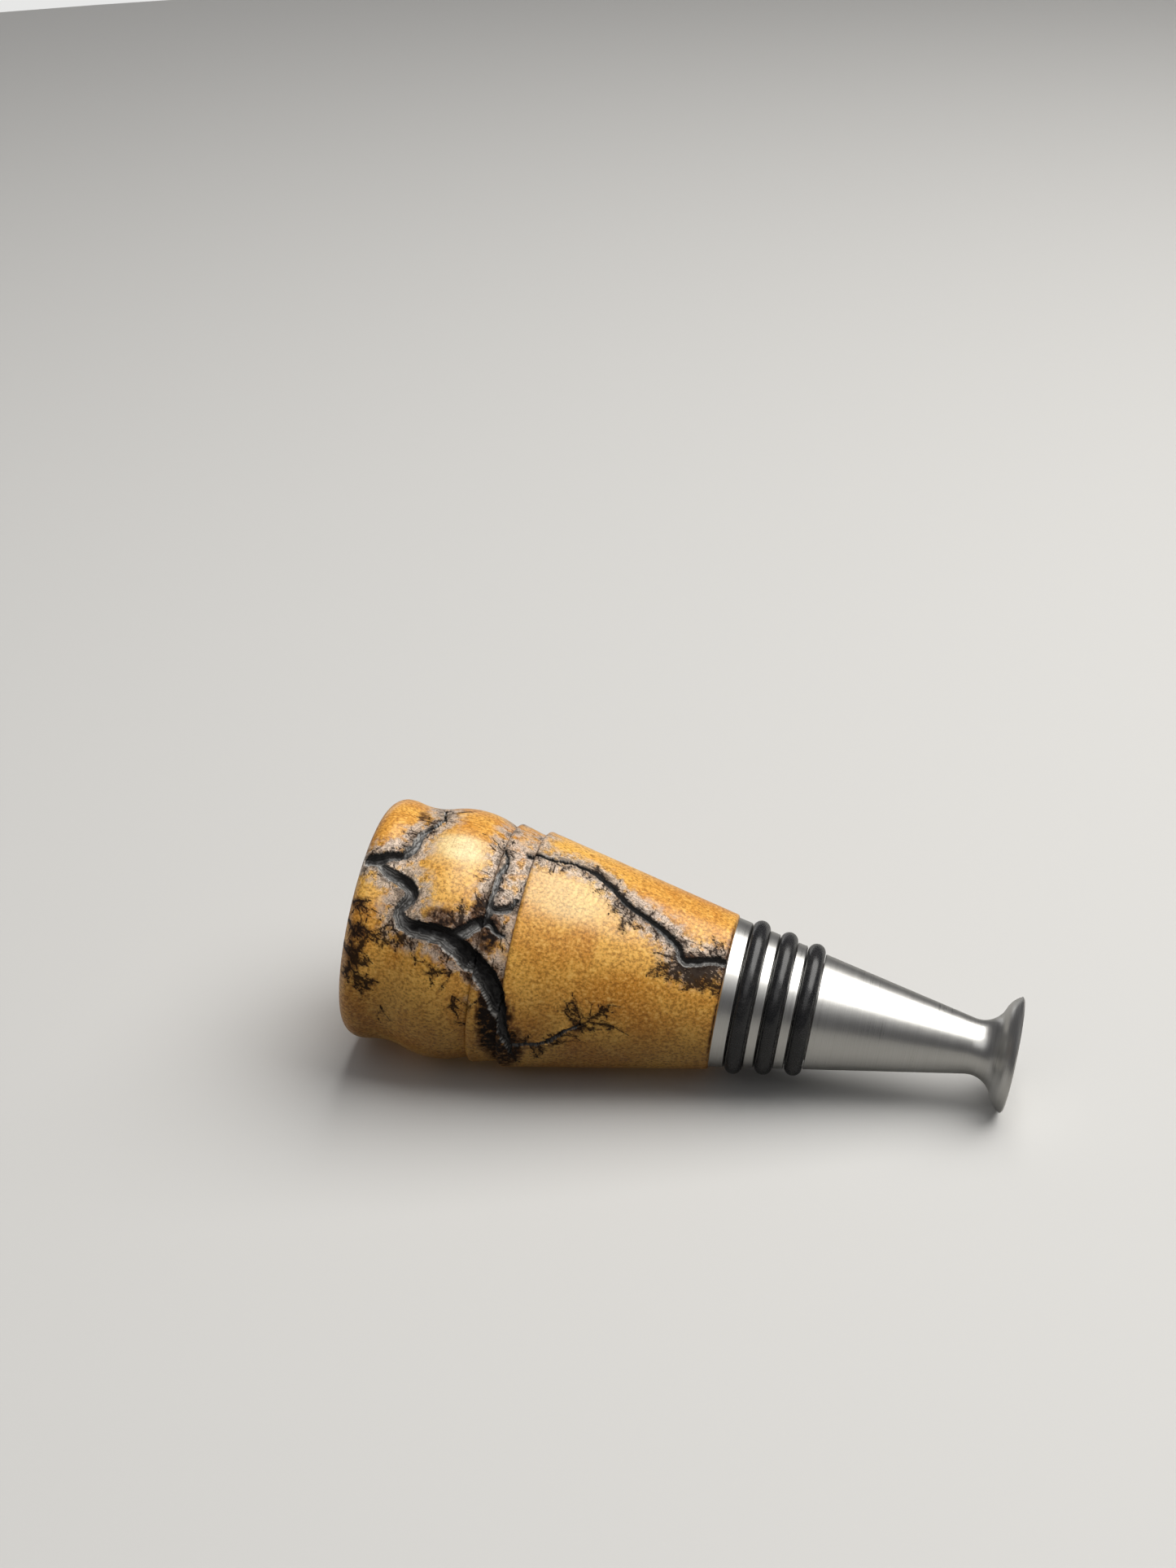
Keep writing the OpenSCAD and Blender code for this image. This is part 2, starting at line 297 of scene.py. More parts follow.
def draw_twigs(twigs):
    """The unrolled grid with the twigs drawn in it, darkest in their middle."""
    figure = np.zeros((FIGURE_COLUMNS, FIGURE_ROWS))
    dots = []
    for (s0, z0), (s1, z1), width in twigs:
        count = max(1, round(math.hypot(s1 - s0, z1 - z0) / DOT))
        dots += [(s0 + (s1 - s0) * i / count, z0 + (z1 - z0) * i / count, width) for i in range(count)]
    s, z, width = np.array(dots).T
    width = width * TWIG_SHARE
    column, row = s / CELL + FIGURE_COLUMNS / 2, (z - FIGURE_LOW) / CELL
    reach = range(-DOT_CELLS, DOT_CELLS + 1)
    for across in reach:
        for up in reach:
            c, r = np.floor(column) + across, np.clip(np.floor(row) + up, 0, FIGURE_ROWS - 1)
            away = np.hypot(c - column, r - row) * CELL
            shade = np.clip(DOT_DARK - away / width, 0, 1)
            np.maximum.at(figure, (c.astype(int) % FIGURE_COLUMNS, r.astype(int)), shade)
    return figure


def softened(grid, reach):
    """The grid blurred over a distance in millimetres, with three passes of a plain average."""
    cells = max(1, round(reach / CELL))
    for _ in range(3):
        for axis in (0, 1):
            grid = sum(np.roll(grid, k, axis) for k in range(-cells, cells + 1)) / (2 * cells + 1)
    return grid


# Larger burnt trees as (angle, height, heading, length, width, number of stems). A heading of 0 goes
# towards +X along the skin, and 90 goes up towards the head.
TREES = [
    (-2, 83.5, 185, 7.5, 0.22, 3), (-3, 82, 205, 6, 0.22, 2), (-1, 80.5, 175, 4, 0.18, 2),
    (-2, 86, 150, 6, 0.2, 3), (10, 85.5, 178, 4, 0.18, 2), (17, 87, 195, 3.5, 0.18, 2),
    (4, 77, 15, 5, 0.22, 3), (2, 77.5, 50, 3.5, 0.2, 2), (-6, 77.5, 190, 5, 0.2, 3),
    (56, 84.5, 60, 5, 0.18, 2), (45, 86, 20, 3, 0.16, 2), (62, 84, 100, 4, 0.18, 2),
    (50, 85, 240, 4, 0.16, 2),
    (11, 47.5, 160, 6.5, 0.24, 2), (12, 46.5, 190, 6, 0.24, 2), (15, 45.2, 176, 7, 0.24, 2),
    (17, 43.8, 186, 8, 0.26, 3), (18.5, 42.2, 178, 10, 0.26, 3), (14, 47.8, 120, 4, 0.22, 2),
    (10, 46.8, 150, 6, 0.26, 2), (10, 45, 195, 6, 0.26, 2), (5, 43.2, 185, 7, 0.24, 2),
    (37, 55, 178, 7, 0.2, 3), (33, 52, 170, 5, 0.18, 2), (42, 57, 168, 5.5, 0.2, 2),
    (48, 59, 190, 5, 0.18, 2),
    (53, 62, 200, 5, 0.18, 2), (52, 64.5, 190, 4, 0.17, 2), (50, 67, 170, 4, 0.17, 2),
    (53, 60, 10, 4.5, 0.18, 2), (47, 58, 20, 4, 0.17, 2), (34, 52, 15, 4, 0.17, 2),
    (26, 49, 20, 4.5, 0.17, 2),
    (21, 42.5, 15, 6, 0.22, 3), (20, 44, 30, 5.5, 0.2, 2), (17, 46.5, 50, 4, 0.18, 2),
    (-37, 59.3, 28, 7, 0.26, 1), (-35, 58.5, 352, 6.5, 0.24, 1), (-35, 58.3, 318, 8, 0.24, 1),
    (-34, 57.8, 292, 7, 0.22, 1), (-38, 58.8, 262, 5, 0.2, 1), (-45, 61, 230, 5.5, 0.22, 1),
    (-51, 64.5, 200, 6, 0.22, 2),
    (-50, 62.5, 265, 4, 0.2, 2), (-52, 66.5, 160, 4, 0.18, 2), (14, 75, 30, 3, 0.17, 2),
    (30, 74.5, 80, 3, 0.16, 2), (17, 71.5, 330, 3, 0.17, 2), (4, 71.5, 200, 3, 0.2, 2),
    (-12, 74, 200, 4.5, 0.2, 2), (-25, 72, 190, 4, 0.2, 2), (-30, 76, 170, 5, 0.22, 3),
    (-18, 77.5, 140, 5.5, 0.2, 3), (4, 91.3, 235, 3.5, 0.22, 2), (3, 90.5, 200, 3.5, 0.2, 2),
    (-6, 91, 235, 4.5, 0.22, 3), (-17, 91.5, 220, 6.5, 0.22, 3),
    (4.4, 92.3, 255, 4.2, 0.42, 1), (-6, 92, 245, 4.2, 0.42, 1), (-15, 92.2, 212, 5.5, 0.36, 1),
    (-24, 91, 190, 6, 0.26, 3), (-10, 89, 200, 5, 0.24, 2), (-30, 90, 200, 5.5, 0.2, 3),
    (-45, 86, 190, 5, 0.18, 2), (68, 84, 350, 5, 0.17, 2), (80, 84.5, 0, 5, 0.16, 2),
    (49, 74, 30, 5, 0.17, 2), (-60, 67.5, 190, 7, 0.22, 3),
]

# Scorched patches as (angle, height, half width along the skin, half height, strength). Those low on the
# underside by the step, from -36 to -68 degrees, are partly painted shade.
SCORCHES_AND_SHADE = [
    (-34, 71.1, 7, 1.9, 1), (-52, 70, 6, 2.6, 0.85), (-68, 69, 6, 2.6, 0.6), (-36, 68.6, 3.5, 1.3, 0.6),
    (-56, 67.8, 6, 2.2, 0.7), (-14, 73.8, 2.6, 2, 0.75), (15, 45.8, 1.6, 1.2, 0.6),
    (3, 72.8, 3.2, 1.4, 0.8), (-5, 78, 2.5, 3, 0.35), (63, 86.8, 2, 1.1, 0.45), (-37, 59, 1.6, 1, 0.5),
    (8, 75, 4.5, 1.3, 0.55), (5, 79.5, 1.7, 2.8, 0.6), (-1, 76.2, 2.5, 1.6, 0.6),
    (4, 91.5, 1.2, 1.4, 0.5), (-8, 90.5, 1.6, 1.8, 0.5), (-20, 91, 4, 1.5, 0.35), (-52, 66, 2, 2, 0.4),
]

# Stretches of channel whose floor is pale grey instead of charcoal, given in the same way
PALE_FLOOR_PATCHES = [
    (6, 84.8, 2.6, 1.6, 0.85), (22, 88.5, 1.6, 1.6, 0.7), (44, 86, 3.2, 1.6, 1), (25, 73.5, 4, 1.2, 0.8),
    (15, 71.6, 1, 1.2, 0.6),
]

# Shares of its size at which a patch starts to fade and has ended
PATCH_FADE = (0.35, 1.35)


def patches(places, angles, heights):
    """How strongly each point lies in any of the patches."""
    held = np.zeros(len(angles))
    for angle, z, wide, high, strength in places:
        spread = np.hypot(np.radians(angles - angle) * SKIN_R / wide, (heights - z) / high)
        held = np.maximum(held, strength * (1 - smooth_step(*PATCH_FADE, spread)))
    return held


# Seed of the twigs' dice and of the noise that tears the channels' edges
SEED = 11
# Stems of a tree: how far apart they start along and up the skin, how their headings spread, and what share
# of the tree's length they have
STEMS_ALONG, STEMS_UP = 0.5, 0.4
STEMS_SPREAD = 40
STEM_LENGTHS = (0.55, 1)
# Small twigs that leave the channels' edges: how many, and their lengths and widths
EDGE_TWIGS = 260
EDGE_TWIG_LENGTHS = (0.6, 2.6)
EDGE_TWIG_WIDTHS = (0.12, 0.19)


def burnt_figure(edge_points):
    """The unrolled grid of twigs: the larger trees, and small twigs that leave the channels' edges."""
    dice = random.Random(SEED)
    twigs = []
    for angle, z, heading, length, width, stems in TREES:
        for _ in range(stems):
            along = arc_length(angle) + dice.uniform(-STEMS_ALONG, STEMS_ALONG)
            start = (along, z + dice.uniform(-STEMS_UP, STEMS_UP))
            way = heading + dice.uniform(-STEMS_SPREAD, STEMS_SPREAD)
            grow(dice, start, way, length * dice.uniform(*STEM_LENGTHS), width, twigs)
    for _ in range(EDGE_TWIGS):
        angle, z = dice.choice(edge_points)
        start = (arc_length(angle), z)
        heading, length = dice.uniform(0, 360), dice.uniform(*EDGE_TWIG_LENGTHS)
        grow(dice, start, heading, length, dice.uniform(*EDGE_TWIG_WIDTHS), twigs, 1)
    return draw_twigs(twigs)


def sample_grid(grid, angles, heights):
    """The grid's value at each angle and height, blended between cells."""
    columns = np.radians(angles) * SKIN_R / CELL + FIGURE_COLUMNS / 2
    rows = np.clip((heights - FIGURE_LOW) / CELL, 0, FIGURE_ROWS - 2)
    c, r = np.floor(columns).astype(int), np.floor(rows).astype(int)
    fc, fr = columns - c, rows - r
    c0, c1 = c % FIGURE_COLUMNS, (c + 1) % FIGURE_COLUMNS
    low = grid[c0, r] * (1 - fc) + grid[c1, r] * fc
    high = grid[c0, r + 1] * (1 - fc) + grid[c1, r + 1] * fc
    return low * (1 - fr) + high * fr


def cad_surface(node):
    """A search tree of a CAD node's merged mesh, in millimetres."""
    bm = bmesh.new()
    bm.from_mesh(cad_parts[node].data)
    bmesh.ops.scale(bm, vec=(1 / MM,) * 3, verts=bm.verts)
    bmesh.ops.remove_doubles(bm, verts=bm.verts, dist=SAME_POINT)
    tree = BVHTree.FromBMesh(bm)
    bm.free()
    return tree


# The rays that feel for the CAD handle's skin: how far from the axis they start, the lowest and the highest,
# and the step between those that measure the plain outline at the back
RAY_START = 40
RAY_LOW, RAY_TOP = JOINT_Z + 0.05, END_Z - 0.07
PROFILE_STEP = 0.02
# Offsets along and up the skin of the two rays that tell to which side a channel's wall looks, and the
# difference between them at which it is fully lit
WALL_ALONG, WALL_UP = 0.25, 0.2
WALL_LIT = 0.3


def skin_reached(tree, angle, z):
    """Radius at which a level line from outside meets the surface, or 0."""
    outward = Vector((math.sin(angle), -math.cos(angle), 0))
    hit = tree.ray_cast(outward * RAY_START + Vector((0, 0, z)), -outward)[0]
    return math.hypot(hit.x, hit.y) if hit else 0.0


def set_radius(vert, radius):
    """Moves a vertex level with itself to another distance from the axis."""
    share = radius / math.hypot(vert.co.x, vert.co.y)
    vert.co.x *= share
    vert.co.y *= share


# Vertices of the skin are farther from the axis and higher than this
SKIN_LEAST_R = 10
SKIN_LOW = JOINT_Z + 0.01
# Least depth that counts as carved, and what the deepest channel leaves round the axis
LEAST_DEPTH = 0.06
CORE_R = 9
# How the channels' edges are torn and their floors made rough: noise in waves per mm, and its height. The
# swell is a share of the depth.
BROAD_WAVES, BROAD_TEAR = 0.8, 0.2
FINE_WAVES, FINE_TEAR = 2.6, 0.13
SWELL_WAVES, SWELL = 1.7, 0.1
ROUGH_WAVES, ROUGHNESS = 3.3, 0.09


def carve_handle(bm):
    """Takes the burnt channels' depth over from the CAD handle, with torn edges and a rough floor.
    Returns the depth carved at each vertex, and how far its wall looks up and towards +X."""
    noise.seed_set(SEED)
    tree = cad_surface("wood_handle")
    heights = np.arange(JOINT_Z - 1, END_Z + 1, PROFILE_STEP)
    plain = np.array([skin_reached(tree, math.pi, z) for z in heights])
    depths = np.zeros(len(bm.verts))
    lit_walls = np.zeros(len(bm.verts))
    for i, v in enumerate(bm.verts):
        r = math.hypot(v.co.x, v.co.y)
        if r < SKIN_LEAST_R or v.co.z < SKIN_LOW:
            continue
        angle = math.atan2(v.co.x, -v.co.y)
        if not FRONT_START < math.degrees(angle) < FRONT_START + FRONT_ANGLE:
            continue
        torn = noise.noise_vector(v.co * BROAD_WAVES) * BROAD_TEAR
        torn += noise.noise_vector(v.co * FINE_WAVES) * FINE_TEAR
        z = min(max(v.co.z + torn.z, RAY_LOW), RAY_TOP)
        reached = skin_reached(tree, angle + torn.x / r, z)
        depth = np.interp(z, heights, plain) - reached
        if reached == 0 or depth < LEAST_DEPTH:
            continue
        depth = min(depth, r - CORE_R) * (1 + SWELL * noise.noise(v.co * SWELL_WAVES))
        depth += ROUGHNESS * noise.noise(v.co * ROUGH_WAVES) * min(1, depth * 2)
        depths[i] = depth
        outer = skin_reached(tree, angle + (torn.x - WALL_ALONG) / r, min(z + WALL_UP, RAY_TOP))
        inner = skin_reached(tree, angle + (torn.x + WALL_ALONG) / r, z - WALL_UP)
        lit_walls[i] = min(max((outer - inner) / WALL_LIT, 0), 1)
        set_radius(v, r - depth)
    return depths, lit_walls


# Vertices carved deeper than this are in a channel, and those up to the next depth are at its edge
IN_CHANNEL, AT_EDGE = 0.1, 0.45
# Distances from a channel are kept up to this one
FARTHEST = 9.0
# Lips that the heat raised beside the channels: their height, how far off and how wide they are, where they
# have ended, and how their height varies
LIP_HEIGHT = 0.11
LIP_AWAY, LIP_WIDTH, LIP_END = 0.28, 0.22, 0.75
LIP_SHARE, LIP_WAVES = 0.6, 1.4
# Painted shade in the corners of the two steps: its width and darkness, and how far inside the step it lies
SHADE_CORNER_WIDTH, SHADE_CORNER_DARK, SHADE_CORNER_DROP = 0.12, 0.42, 0.3
# Burnt line at the joint: its width and darkness, its middle, and where it has faded and where it is full
JOINT_WIDTH, JOINT_DARK = 0.35, 0.8
JOINT_MIDDLE, JOINT_FADE = 2, (85, 35)
# On the flat end, above this height, the burn fades from the rim inwards between these radii
ON_END = END_Z - 0.05
END_BURN = (12.5, 15)
# Reach of the haze and of the fuzz round the channels and the twigs
HAZE_REACH, FUZZ_REACH = 2.0, 0.24
# The haze grows from its least share between these angles, and it is weaker on part of the cone
HAZE_LEAST, HAZE_ANGLES = 0.3, (-34, -4)
CONE_LOSS, CONE_HEIGHTS, CONE_ANGLES = 0.75, (57, 64), (44, 33)
# Depths over which a channel's black and its grey of ash and painted light start, and over which that grey
# ends
CARVED_DEPTHS, ASH_START, ASH_DEPTHS = (0.04, 0.4), (0.03, 0.14), (1.9, 0.9)
# Ash with painted light on the walls that face the light: least share on walls that aren't lit and from
# which it is full, and least share on the low side, which is painted shade
ASH_LEAST, ASH_LIT = 0.04, (0.0, 0.55)
LOW_SIDE_SHADE, LOW_SIDE_SHADE_ANGLES = 0.2, (-13, 4)
# Pale edge of a channel, a painted highlight: its depth, its spread, and how lit its wall has to be
RIM_DEPTH, RIM_SPREAD, RIM_LIT = 0.22, 0.2, (0.0, 0.5)


def away_from_channels(places, depths):
    """Distance of each vertex from the nearest carved one."""
    carved = np.flatnonzero(depths > IN_CHANNEL)
    burnt = kdtree.KDTree(len(carved))
    for i in carved:
        burnt.insert(places[i], i)
    burnt.balance()
    return np.array([min(burnt.find(place)[2], FARTHEST) for place in places])


def raise_lips(bm, away, depths):
    """Swells the skin a little right beside the channels."""
    for i in np.flatnonzero((away < LIP_END) & (depths == 0)):
        v = bm.verts[i]
        if v.co.z <= JOINT_Z + JOINT_ROUND:
            continue
        swell = LIP_HEIGHT * math.exp(-(((away[i] - LIP_AWAY) / LIP_WIDTH) ** 2))
        swell *= LIP_SHARE + noise.noise(v.co * LIP_WAVES)
        set_radius(v, math.hypot(v.co.x, v.co.y) + swell)


def scorched_and_shaded_skin(angles, heights, radii):
    """The scorched patches, some of them painted shade on the underside, with a burnt line at the joint and
    painted shade in the corners of the two steps.
    """
    # Painted shade in the corner at the foot of each step
    painted_corner_shade = np.zeros(len(heights))
    for step_z, diameter in ((STEP_Z, CONE_D), (BAND_Z, BAND_BIG_D)):
        inside = radii < diameter / 2 - SHADE_CORNER_DROP
        painted_corner_shade += np.exp(-np.abs(heights - step_z) / SHADE_CORNER_WIDTH) * inside
    joint_burn = JOINT_DARK * smooth_step(*JOINT_FADE, np.abs(angles - JOINT_MIDDLE))
    joint_burn *= np.exp(-np.abs(heights - JOINT_Z) / JOINT_WIDTH)
    return np.maximum(patches(SCORCHES_AND_SHADE, angles, heights), np.maximum(joint_burn, SHADE_CORNER_DARK * painted_corner_shade))


def haze_share(angles, heights):
    """How strong the pale haze beside the channels is."""
    share = HAZE_LEAST + (1 - HAZE_LEAST) * smooth_step(*HAZE_ANGLES, angles)
    on_cone = smooth_step(*CONE_HEIGHTS, heights) * (heights < STEP_Z) * smooth_step(*CONE_ANGLES, angles)
    return share * (1 - CONE_LOSS * on_cone)


def channel_ash_and_light(angles, heights, depths, lit_walls):
    """How much pale grey lies in the channels: ash with painted light on walls that look to the light, less
    on the low side as painted shade, and the stretches of pale floor.
    """
    started = smooth_step(*ASH_START, depths)
    # Painted light on walls that face the light, and painted shade on the low side
    lit = ASH_LEAST + (1 - ASH_LEAST) * smooth_step(*ASH_LIT, lit_walls)
    side = LOW_SIDE_SHADE + (1 - LOW_SIDE_SHADE) * smooth_step(*LOW_SIDE_SHADE_ANGLES, angles)
    ash_and_light = started * smooth_step(*ASH_DEPTHS, depths) * lit * side
    return np.maximum(ash_and_light, patches(PALE_FLOOR_PATCHES, angles, heights) * started)


def burnt_layers(places, depths, lit_walls, away):
    """What the wood's material needs to know at each vertex, by the names of its attributes."""
    angles = np.degrees(np.arctan2(places[:, 0], -places[:, 1]))
    heights = places[:, 2]
    radii = np.hypot(places[:, 0], places[:, 1])
    at_edge = np.flatnonzero((depths > IN_CHANNEL) & (depths < AT_EDGE))
    grid = burnt_figure([(angles[i], heights[i]) for i in at_edge])
    outside = (heights > SKIN_LOW) * smooth_step(SKIN_LEAST_R, SKIN_LEAST_R + 1, radii)
    on_end = heights > ON_END
    outside[on_end] *= smooth_step(*END_BURN, radii[on_end])
    pale_edge = np.exp(-(((depths - RIM_DEPTH) / RIM_SPREAD) ** 2)) * (depths > 0)
    return {
        "carved": smooth_step(*CARVED_DEPTHS, depths),
        "near_burn": np.exp(-away / HAZE_REACH) * haze_share(angles, heights),
        "twigs": sample_grid(grid, angles, heights) * outside,
        "fuzz": sample_grid(softened(grid, FUZZ_REACH), angles, heights) * outside,
        # Scorch, with painted shade on the underside by the step and in the steps' corners
        "scorched_and_shaded": scorched_and_shaded_skin(angles, heights, radii) * outside,
        "depth": depths,
        # Grey of ash with painted light on the channels' lit walls
        "ash_and_light": channel_ash_and_light(angles, heights, depths, lit_walls),
        # A painted highlight on the pale edge of the lit walls
        "lit_rim_highlight": pale_edge * smooth_step(*RIM_LIT, lit_walls),
    }


def handle_piece(material):
    """The turned handle, carved, with what its burn looks like kept in attributes."""
    back_start, back_angle = FRONT_START + FRONT_ANGLE, 360 - FRONT_ANGLE
    sweeps = [(FRONT_START, FRONT_ANGLE, FRONT_COLUMNS), (back_start, back_angle, BACK_COLUMNS)]
    bm = turn(handle_outline(), sweeps)
    bm.verts.ensure_lookup_table()
    bm.verts.index_update()
    depths, lit_walls = carve_handle(bm)
    places = np.array([v.co for v in bm.verts])
    away = away_from_channels(places, depths)
    raise_lips(bm, away, depths)
    piece = finish_piece("wood_handle", bm, HANDLE_SHARP, material)
    for name, values in burnt_layers(places, depths, lit_walls, away).items():
        kept = piece.data.attributes.new(name, "FLOAT", "POINT")
        kept.data.foreach_set("value", values.astype(np.float32))
    return piece


def ring_piece(number, name, material):
    """One rubber ring, a full round torus."""
    z = ring_height(number)
    middle = seal_radius(z) + RING_PROUD - RING_SECTION / 2
    loop = arc((middle, z), RING_SECTION / 2, -180, 180, RING_POINTS)
    bm = turn(loop, [(0, 360, RING_COLUMNS)])
    return finish_piece(name, bm, RING_SHARP, material)


def connect(tree, node, inputs):
    """Gives a node its inputs, as values or as linked sockets."""
    for name, value in inputs.items():
        if isinstance(value, bpy.types.NodeSocket):
            tree.links.new(value, node.inputs[name])
        else:
            node.inputs[name].default_value = value


def add(tree, kind, inputs=None, **settings):
    """A node with its settings and inputs."""
    made = tree.nodes.new(kind)
    for name, value in settings.items():
        setattr(made, name, value)
    connect(tree, made, inputs or {})
    return made


def maths(tree, operation, a, b=0.0):
    """A calculation with values."""
    return add(tree, "ShaderNodeMath", {0: a, 1: b}, operation=operation).outputs[0]


def vectors(tree, operation, a, b=(0, 0, 0)):
    """A calculation with vectors. A length or a dot product comes out as a value."""
    made = add(tree, "ShaderNodeVectorMath", {0: a, 1: b}, operation=operation).outputs
    return made["Value"] if operation in ("LENGTH", "DOT_PRODUCT") else made[0]


def remap(tree, value, low, high, to_low=0.0, to_high=1.0):
    """Takes low..high smoothly to to_low..to_high, clamped."""
    ends = {0: value, 1: low, 2: high, 3: to_low, 4: to_high}
    return add(tree, "ShaderNodeMapRange", ends, interpolation_type="SMOOTHSTEP").outputs[0]


def blend(tree, mask, under, over):
    """Colour over laid on colour under where the mask is 1."""
    colours = {0: mask, 6: under, 7: over}
    return add(tree, "ShaderNodeMix", colours, data_type="RGBA", clamp_factor=True).outputs[2]


def speckle(tree, place, scale, detail=2.0, roughness=0.5, distortion=0.0):
    """Soft noise between 0 and 1."""
    settings = {"Vector": place, "Scale": scale, "Detail": detail, "Roughness": roughness}
    settings["Distortion"] = distortion
    return add(tree, "ShaderNodeTexNoise", settings).outputs[0]


def cell_edges(tree, place, scale):
    """Distance from the edges of a net of cells."""
    settings = {"Vector": place, "Scale": scale}
    return add(tree, "ShaderNodeTexVoronoi", settings, feature="DISTANCE_TO_EDGE").outputs["Distance"]


def stretch(tree, place, scale):
    """A place with each of its coordinates scaled."""
    return vectors(tree, "MULTIPLY", place, scale)


def layer(tree, name):
    """What the mesh holds under this name."""
    return add(tree, "ShaderNodeAttribute", attribute_name=name).outputs["Fac"]


def millimetres(tree):
    """Object coordinates in millimetres."""
    place = add(tree, "ShaderNodeTexCoord").outputs["Object"]
    return stretch(tree, place, (1 / MM,) * 3)


def group(name, inputs, outputs):
    """An empty shader node group with named float, colour or vector sockets."""
    made = bpy.data.node_groups.new(name, "ShaderNodeTree")
    for kind, sockets in (("INPUT", inputs), ("OUTPUT", outputs)):
        for label, socket, start in sockets:
            new = made.interface.new_socket(label, in_out=kind, socket_type="NodeSocket" + socket)
            if start is not None:
                new.default_value = start
    return made, made.nodes.new("NodeGroupInput").outputs, made.nodes.new("NodeGroupOutput").inputs


def use(tree, made, inputs):
    """Outputs of a shared node group."""
    return add(tree, "ShaderNodeGroup", inputs, node_tree=made).outputs


def turning_lines_group():
    """Fine lines left by the tool, which run round the axis and break up along their way."""
    tree, given, out = group(
        "Turning lines",
        [("Place", "Vector", None), ("Lines per mm", "Float", 6.0), ("Breakup", "Float", 0.3)],
        [("Lines", "Float", None)],
    )
    axis = add(tree, "ShaderNodeCombineXYZ", {0: 0.06, 1: 0.06, 2: given["Lines per mm"]}).outputs[0]
    drawn = stretch(tree, given["Place"], axis)
    lines = speckle(tree, drawn, 1.0, 3.0, 0.65)
    gaps = remap(tree, speckle(tree, given["Place"], 0.35, 2.0), 0.35, 0.65)
    faded = maths(tree, "MULTIPLY", gaps, given["Breakup"])
    kept = maths(tree, "SUBTRACT", 1.0, faded)
    centred = maths(tree, "SUBTRACT", lines, 0.5)
    scaled = maths(tree, "MULTIPLY", centred, kept)
    tree.links.new(maths(tree, "ADD", scaled, 0.5), out["Lines"])
    return tree


def dust_group():
    """Small pale specks and a thin uneven film."""
    tree, given, out = group(
        "Dust",
        [("Place", "Vector", None), ("Amount", "Float", 0.3)],
        [("Mask", "Float", None)],
    )
    specks = remap(tree, speckle(tree, given["Place"], 5.0, 3.0, 0.6), 0.62, 0.72)
    film = remap(tree, speckle(tree, given["Place"], 0.5, 4.0, 0.6), 0.4, 0.75, 0.0, 0.5)
    both = maths(tree, "MAXIMUM", specks, film)
    tree.links.new(maths(tree, "MULTIPLY", both, given["Amount"]), out["Mask"])
    return tree


def new_material(name, slot_colour):
    """A material with its node tree and its shader."""
    made = bpy.data.materials.new(name)
    made.use_nodes = True
    made.diffuse_color = slot_colour
    return made, made.node_tree, made.node_tree.nodes["Principled BSDF"]


# Colours of the wood: its two ambers, its flecks, the pale places and the lines in it. The pale place on the
# cone is a painted highlight.
AMBER_DARK, AMBER_LIGHT = (0.68, 0.29, 0.042, 1), (0.94, 0.52, 0.108, 1)
FLECK_DARK, FLECK_LIGHT = (0.25, 0.088, 0.013, 1), (1.0, 0.68, 0.21, 1)
PAINTED_CONE_HIGHLIGHT, PALE_BEAD = (0.97, 0.77, 0.40, 1), (0.97, 0.79, 0.43, 1)
RING_LINE, END_RING_LINE = (0.42, 0.19, 0.045, 1), (0.30, 0.115, 0.022, 1)
PORE, TOOL_LINE = (0.20, 0.065, 0.010, 1), (0.25, 0.10, 0.02, 1)
# Colours of the burn, where the scorch is partly painted shade and the channels' ash and pale edge carry
# painted light
HAZE_PALE, HAZE_DARK, HAZE_LIP = (0.68, 0.58, 0.50, 1), (0.12, 0.08, 0.05, 1), (0.50, 0.47, 0.43, 1)
SCORCH_AND_SHADE_BROWN, SCORCH_AND_SHADE_BLACK = (0.13, 0.048, 0.013, 1), (0.012, 0.007, 0.005, 1)
FUZZ_BROWN, TWIG_BLACK = (0.13, 0.055, 0.018, 1), (0.012, 0.006, 0.004, 1)
CHARCOAL_DARK, CHARCOAL_LIGHT = (0.005, 0.0045, 0.0045, 1), (0.026, 0.024, 0.023, 1)
ASH_AND_LIT_GREY, RIM_HIGHLIGHT_PALE = (0.37, 0.36, 0.345, 1), (0.66, 0.64, 0.60, 1)
# The pith that the growth rings run round, and the way from the axis in which the skin meets them flat
PITH = (-20, 24, 0)
FLAT_WAY = (0.64, -0.766, 0)
# Middles of the pale places on the bead and on the cone; the cone's is a painted highlight
BEAD_SPOT = (11.6, -13.6, 79.8)
CONE_HIGHLIGHT_MIDDLE = (8.4, -13.4, 63.5)


def pale_place(tree, place, middle, squeeze, wander, outer, inner):
    """Mask of a long soft patch with a wandering edge."""
    away = vectors(tree, "LENGTH", stretch(tree, vectors(tree, "SUBTRACT", place, middle), squeeze))
    return remap(tree, maths(tree, "ADD", away, maths(tree, "MULTIPLY", wander, 9.0)), outer, inner)


